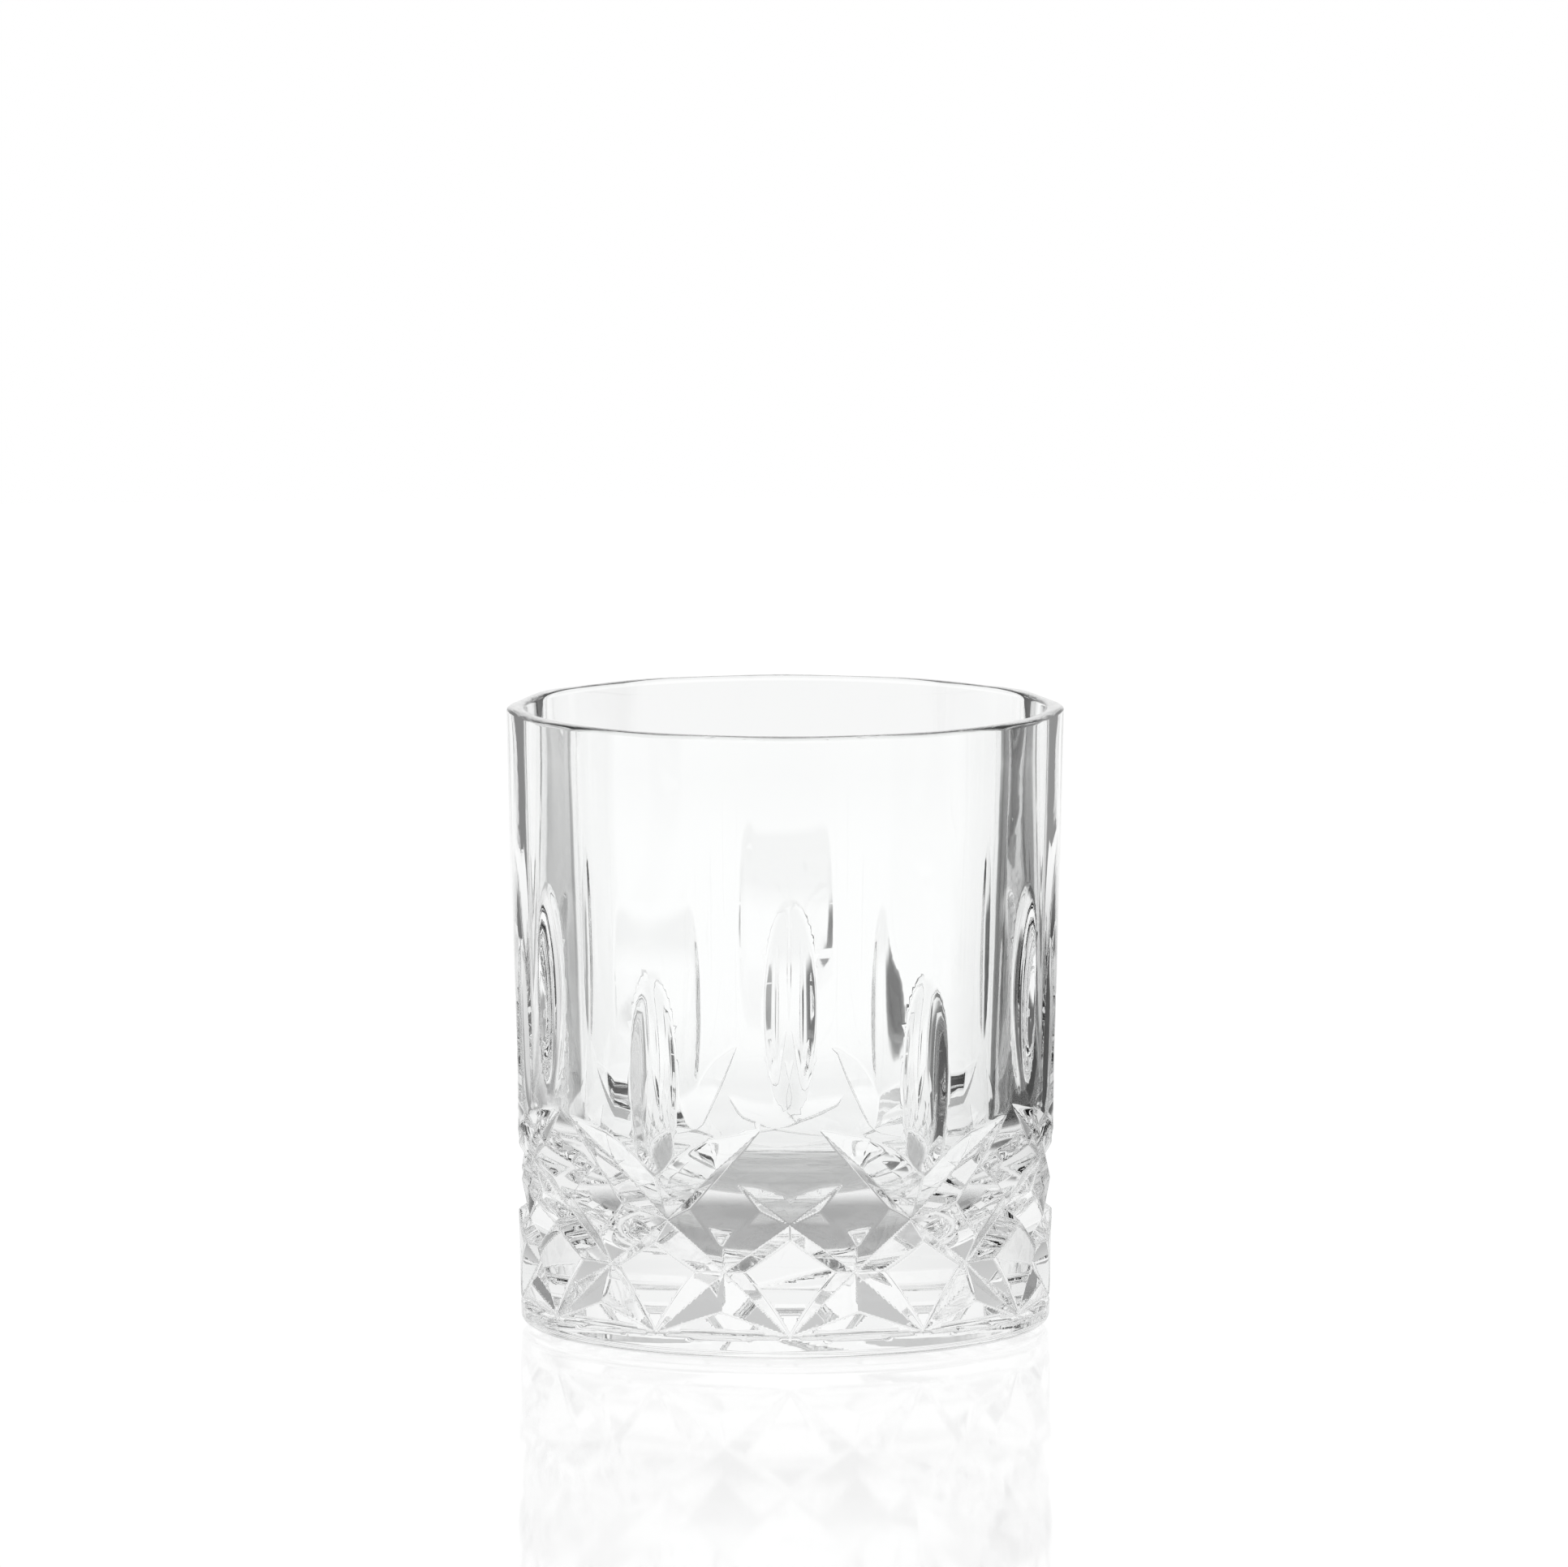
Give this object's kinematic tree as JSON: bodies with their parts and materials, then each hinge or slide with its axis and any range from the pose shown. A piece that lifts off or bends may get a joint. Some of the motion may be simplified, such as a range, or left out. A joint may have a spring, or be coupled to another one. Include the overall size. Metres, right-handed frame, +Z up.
{
  "type": "whiskey tumbler",
  "caption": "Short thick-based clear glass tumbler with a soft many-sided wall, a band of crossed diamond cuts round the foot and upright leaf cuts above it, for holding a drink",
  "frame": {"origin": "centre of the flat underside", "axes": "+Z up along the glass's axis, out of its mouth; -Y towards a ridge that carries a high leaf cut, the front as pictured; X across"},
  "size_m": [0.0828, 0.0828, 0.0922],
  "materials": {
    "clear_glass": "clear pressed glass, fire-polished and smooth, with soft cut edges"
  },
  "bodies": {
    "root": {"tumbler": "clear_glass"}
  },
  "joints": []
}
